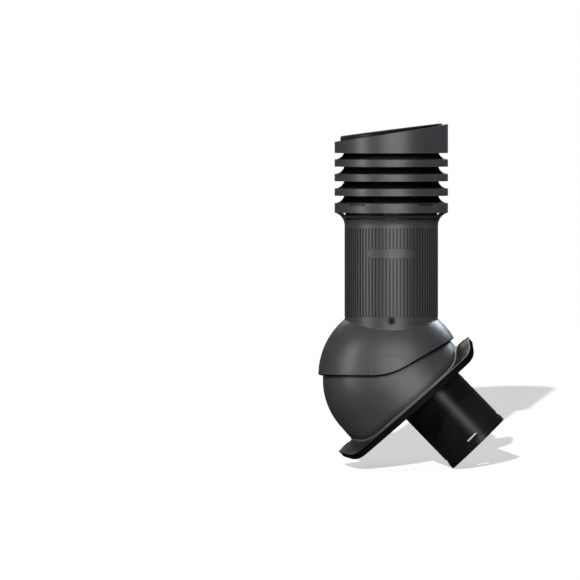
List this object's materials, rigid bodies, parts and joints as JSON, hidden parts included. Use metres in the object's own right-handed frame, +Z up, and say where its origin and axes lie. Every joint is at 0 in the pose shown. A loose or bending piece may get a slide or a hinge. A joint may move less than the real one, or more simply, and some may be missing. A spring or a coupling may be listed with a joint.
{
  "type": "roof vent pipe",
  "caption": "Upright ribbed roof vent with a louvred slanted cap, a hood that tilts on a domed flange to suit the roof pitch, and a sliding outlet pipe below.",
  "frame": {"origin": "where the upright tube's axis meets the roof plane under the base", "axes": "+Z up along the tube, +Y towards the top of the roof, X across the roof"},
  "size_m": [0.272, 0.3312, 0.6159],
  "materials": {
    "shell_plastic": "fine satin moulded plastic, anthracite",
    "lid_plastic": "fine satin moulded plastic, anthracite",
    "tube_plastic": "satin moulded plastic with fine upright ribs",
    "plate_plastic": "satin moulded plastic, black",
    "pipe_plastic": "half-gloss drawn plastic pipe, black",
    "seal_rubber": "soft matt rubber, black",
    "screw_steel": "dark coated steel"
  },
  "bodies": {
    "base": {"base_housing": "shell_plastic", "flange_seal": "seal_rubber", "floor_plate": "plate_plastic", "floor_plate_screws": "screw_steel", "pipe_seal": "seal_rubber", "seal_cap_ring": "plate_plastic", "pivot_bolt_right": "screw_steel", "pivot_bolt_left": "screw_steel", "pivot_washer_right": "screw_steel", "pivot_washer_left": "screw_steel"},
    "head": {"top_lid": "lid_plastic", "cap_cover": "shell_plastic", "louvre_ring_1": "shell_plastic", "louvre_ring_2": "shell_plastic", "louvre_ring_3": "shell_plastic", "louvre_base_ring": "shell_plastic", "ribbed_tube": "tube_plastic", "hood": "shell_plastic", "collar_screw_right": "screw_steel", "collar_screw_left": "screw_steel"},
    "outlet": {"outlet_pipe": "pipe_plastic"}
  },
  "joints": [
    {"name": "pitch_tilt", "type": "hinge", "parent": "base", "child": "head", "pos_m": [0, 0, 0.09894], "axis": [1, 0, 0], "range_deg": [-3.5, 26.5]},
    {"name": "outlet_slide", "type": "slide", "parent": "base", "child": "outlet", "axis": [0, 0.6953, -0.7187], "range_m": [0, 0.052]}
  ]
}
